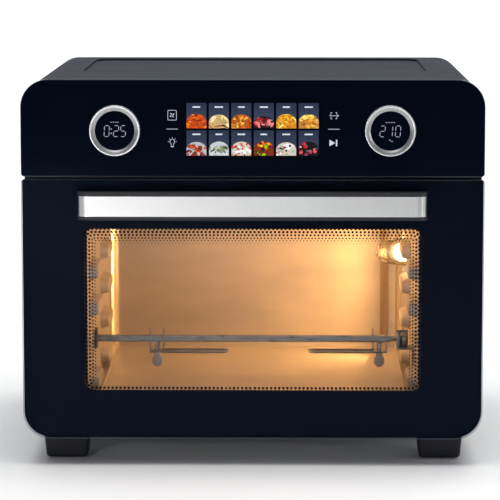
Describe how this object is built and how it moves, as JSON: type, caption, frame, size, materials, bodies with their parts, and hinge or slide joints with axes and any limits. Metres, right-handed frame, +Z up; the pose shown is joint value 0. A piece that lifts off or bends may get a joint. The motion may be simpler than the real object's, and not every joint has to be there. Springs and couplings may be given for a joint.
{
  "type": "air fryer oven",
  "caption": "Countertop air fryer oven with a drop-down glass door, bar handle, dial-ringed control fascia and a motor-driven rotisserie spit.",
  "frame": {"origin": "centre of the bounding box at the height of the surface the feet stand on", "axes": "+X to the oven's right, +Y from the door to the rear, +Z up"},
  "size_m": [0.41, 0.402, 0.346],
  "materials": {
    "shell_paint": "satin dark slate",
    "black_enamel": "satin black",
    "galvanised_sheet": "galvanised sheet",
    "cavity_steel": "aluminised sheet",
    "stainless": "brushed stainless",
    "gloss_black": "gloss black",
    "door_glass": "tempered glass, dark print",
    "clear_glass": "clear tempered glass",
    "black_plastic": "satin moulded",
    "foot_plastic": "moulded",
    "pad_rubber": "matt",
    "gasket_rubber": "silicone",
    "screen": "lit display",
    "circuit_board": "solder mask",
    "dial_metal": "machined",
    "screw_steel": "plated",
    "heater_steel": "oxidised sheath",
    "ceramic_white": "unglazed",
    "motor_steel": "laminated core",
    "fan_aluminium": "pressed",
    "magnet_dark": "sintered"
  },
  "bodies": {
    "chassis": {"housing_shell": "shell_paint", "rear_cover": "black_enamel", "cord_gland": "black_plastic", "rear_spacers": "black_plastic", "base_plate": "galvanised_sheet", "feet": "foot_plastic", "foot_pads": "pad_rubber", "casing_screws": "screw_steel", "front_frame": "black_enamel", "door_gasket": "gasket_rubber", "control_fascia": "gloss_black", "fascia_carrier": "black_plastic", "display_module": "screen", "control_board": "circuit_board", "dial_lenses": "gloss_black", "rotary_encoders": "black_plastic", "door_sensor": "black_plastic", "hinge_brackets": "galvanised_sheet", "hinge_pins": "screw_steel", "cavity_left_wall": "cavity_steel", "cavity_right_wall": "cavity_steel", "cavity_rear_wall": "cavity_steel", "cavity_floor": "cavity_steel", "cavity_ceiling": "cavity_steel", "crumb_tray": "cavity_steel", "thermal_sensors": "screw_steel", "fan_guard": "cavity_steel", "top_heater": "heater_steel", "lower_heater": "heater_steel", "heater_terminals": "ceramic_white", "heat_shield": "galvanised_sheet", "fan_housing": "galvanised_sheet", "fan_motor": "motor_steel", "motor_bracket": "galvanised_sheet", "power_board": "circuit_board", "power_board_standoffs": "black_plastic", "lamp_cover": "clear_glass", "lamp_holder": "ceramic_white", "lamp_bulb": "clear_glass", "gear_motor": "motor_steel", "spit_bracket": "stainless"},
    "door": {"door_outer_glass": "door_glass", "door_frame": "black_plastic", "door_inner_panel": "black_enamel", "door_inner_glass": "clear_glass", "handle_cover": "stainless", "handle_backing": "black_plastic", "handle_screws": "screw_steel", "door_magnet": "magnet_dark"},
    "time_dial": {"time_dial_ring": "dial_metal"},
    "temperature_dial": {"temperature_dial_ring": "dial_metal"},
    "fan_rotor": {"fan_impeller": "fan_aluminium", "cooling_blade": "fan_aluminium", "motor_shaft": "screw_steel"},
    "spit_drive": {"drive_socket": "stainless"},
    "spit_bar": {"spit": "stainless"},
    "fork_left": {"left_fork": "stainless"},
    "fork_right": {"right_fork": "stainless"},
    "thumb_left": {"left_thumb_screw": "stainless"},
    "thumb_right": {"right_thumb_screw": "stainless"}
  },
  "joints": [
    {"name": "door_hinge", "type": "hinge", "parent": "chassis", "child": "door", "pos_m": [0, -0.161, 0.036], "axis": [1, 0, 0], "range_deg": [0, 85]},
    {"name": "time_dial_turn", "type": "hinge", "parent": "chassis", "child": "time_dial", "pos_m": [-0.1213, -0.177, 0.3013], "axis": [0, 1, 0], "continuous": true},
    {"name": "temperature_dial_turn", "type": "hinge", "parent": "chassis", "child": "temperature_dial", "pos_m": [0.1213, -0.177, 0.3013], "axis": [0, 1, 0], "continuous": true},
    {"name": "fan_spin", "type": "hinge", "parent": "chassis", "child": "fan_rotor", "pos_m": [0, 0.01, 0.26], "axis": [0, 0, 1], "continuous": true},
    {"name": "rotisserie_spin", "type": "hinge", "parent": "chassis", "child": "spit_drive", "pos_m": [-0.145, -0.059, 0.0967], "axis": [1, 0, 0], "continuous": true},
    {"name": "spit_release", "type": "slide", "parent": "spit_drive", "child": "spit_bar", "axis": [1, 0, 0], "range_m": [0, 0.0045]},
    {"name": "left_fork_slide", "type": "slide", "parent": "spit_bar", "child": "fork_left", "axis": [1, 0, 0], "range_m": [-0.03, 0.025]},
    {"name": "right_fork_slide", "type": "slide", "parent": "spit_bar", "child": "fork_right", "axis": [-1, 0, 0], "range_m": [-0.003, 0.025]},
    {"name": "left_thumb_turn", "type": "hinge", "parent": "fork_left", "child": "thumb_left", "pos_m": [-0.0906, -0.059, 0.083], "axis": [0, 0, 1], "range_deg": [0, 180]},
    {"name": "right_thumb_turn", "type": "hinge", "parent": "fork_right", "child": "thumb_right", "pos_m": [0.1168, -0.059, 0.083], "axis": [0, 0, 1], "range_deg": [0, 180]}
  ]
}
